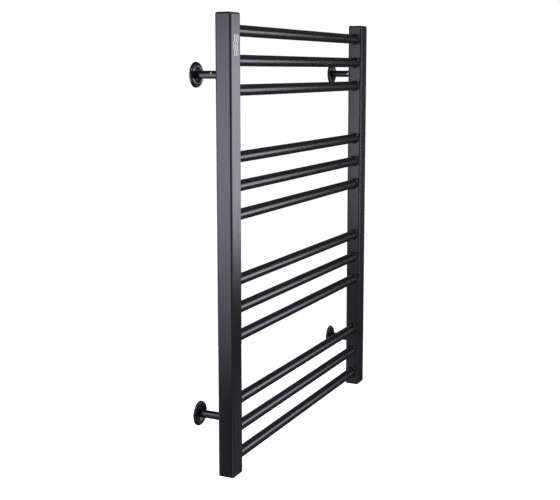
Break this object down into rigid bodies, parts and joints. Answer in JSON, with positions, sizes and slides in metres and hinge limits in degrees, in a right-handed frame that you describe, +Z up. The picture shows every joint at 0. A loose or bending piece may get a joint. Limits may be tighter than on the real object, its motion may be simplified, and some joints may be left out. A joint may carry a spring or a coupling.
{
  "type": "towel warmer rack",
  "caption": "Wall-mounted ladder towel warmer: box-section posts joined by grouped round bars, held off the wall by adjustable stems with round dished flanges.",
  "frame": {"origin": "on the wall plane, at the centre of the rectangle of four fixing holes, which is also mid-height and mid-width of the rail", "axes": "+X to the right seen from the room, +Y into the wall, +Z up"},
  "size_m": [0.644, 0.077, 0.8],
  "materials": {
    "black_powder_coat": "satin black powder coat with a fine even texture",
    "bright_steel": "bare turned steel",
    "zinc_plated_steel": "bright zinc plate",
    "nickel_plated_brass": "satin nickel plate over turned brass",
    "white_print": "screen-printed matt white ink",
    "seal_rubber": "moulded black rubber"
  },
  "bodies": {
    "rail": {"left_post": "black_powder_coat", "right_post": "black_powder_coat", "left_top_cap": "black_powder_coat", "right_top_cap": "black_powder_coat", "left_port_block": "black_powder_coat", "right_port_block": "black_powder_coat", "bar_01": "black_powder_coat", "bar_02": "black_powder_coat", "bar_03": "black_powder_coat", "bar_04": "black_powder_coat", "bar_05": "black_powder_coat", "bar_06": "black_powder_coat", "bar_07": "black_powder_coat", "bar_08": "black_powder_coat", "bar_09": "black_powder_coat", "bar_10": "black_powder_coat", "bar_11": "black_powder_coat", "bar_12": "black_powder_coat", "left_weld_beads": "black_powder_coat", "right_weld_beads": "black_powder_coat", "upper_left_spigot": "black_powder_coat", "upper_right_spigot": "black_powder_coat", "lower_left_spigot": "black_powder_coat", "lower_right_spigot": "black_powder_coat", "air_vent_body": "nickel_plated_brass", "air_vent_seal": "seal_rubber"},
    "upper_left_stem": {"upper_left_sleeve": "black_powder_coat", "upper_left_flange_screw": "zinc_plated_steel"},
    "upper_left_wall_plate": {"upper_left_flange": "black_powder_coat"},
    "upper_left_lock": {"upper_left_set_screw": "bright_steel"},
    "upper_right_stem": {"upper_right_sleeve": "black_powder_coat", "upper_right_flange_screw": "zinc_plated_steel"},
    "upper_right_wall_plate": {"upper_right_flange": "black_powder_coat"},
    "upper_right_lock": {"upper_right_set_screw": "bright_steel"},
    "lower_left_stem": {"lower_left_sleeve": "black_powder_coat", "lower_left_flange_screw": "zinc_plated_steel"},
    "lower_left_wall_plate": {"lower_left_flange": "black_powder_coat"},
    "lower_left_lock": {"lower_left_set_screw": "bright_steel"},
    "lower_right_stem": {"lower_right_sleeve": "black_powder_coat", "lower_right_flange_screw": "zinc_plated_steel"},
    "lower_right_wall_plate": {"lower_right_flange": "black_powder_coat"},
    "lower_right_lock": {"lower_right_set_screw": "bright_steel"},
    "bleed_screw": {"air_vent_screw": "nickel_plated_brass"}
  },
  "joints": [
    {"name": "upper_left_stem_slide", "type": "slide", "parent": "rail", "child": "upper_left_stem", "axis": [0, 1, 0], "range_m": [0, 0.008]},
    {"name": "upper_left_flange_turn", "type": "hinge", "parent": "upper_left_stem", "child": "upper_left_wall_plate", "pos_m": [-0.3, 0, 0.297], "axis": [0, 1, 0], "continuous": true},
    {"name": "upper_left_set_screw_travel", "type": "slide", "parent": "upper_left_stem", "child": "upper_left_lock", "axis": [-0.866, 0, 0.5], "range_m": [0, 0.0015]},
    {"name": "upper_right_stem_slide", "type": "slide", "parent": "rail", "child": "upper_right_stem", "axis": [0, 1, 0], "range_m": [0, 0.008]},
    {"name": "upper_right_flange_turn", "type": "hinge", "parent": "upper_right_stem", "child": "upper_right_wall_plate", "pos_m": [0.3, 0, 0.297], "axis": [0, 1, 0], "continuous": true},
    {"name": "upper_right_set_screw_travel", "type": "slide", "parent": "upper_right_stem", "child": "upper_right_lock", "axis": [-1, 0, 0], "range_m": [0, 0.0015]},
    {"name": "lower_left_stem_slide", "type": "slide", "parent": "rail", "child": "lower_left_stem", "axis": [0, 1, 0], "range_m": [0, 0.008]},
    {"name": "lower_left_flange_turn", "type": "hinge", "parent": "lower_left_stem", "child": "lower_left_wall_plate", "pos_m": [-0.3, 0, -0.297], "axis": [0, 1, 0], "continuous": true},
    {"name": "lower_left_set_screw_travel", "type": "slide", "parent": "lower_left_stem", "child": "lower_left_lock", "axis": [0, 0, -1], "range_m": [0, 0.0015]},
    {"name": "lower_right_stem_slide", "type": "slide", "parent": "rail", "child": "lower_right_stem", "axis": [0, 1, 0], "range_m": [0, 0.008]},
    {"name": "lower_right_flange_turn", "type": "hinge", "parent": "lower_right_stem", "child": "lower_right_wall_plate", "pos_m": [0.3, 0, -0.297], "axis": [0, 1, 0], "continuous": true},
    {"name": "lower_right_set_screw_travel", "type": "slide", "parent": "lower_right_stem", "child": "lower_right_lock", "axis": [0, 0, -1], "range_m": [0, 0.0015]},
    {"name": "bleed_screw_turn", "type": "hinge", "parent": "rail", "child": "bleed_screw", "pos_m": [0.3, -0.047, 0.38], "axis": [0, 1, 0], "range_deg": [0, 180]}
  ]
}
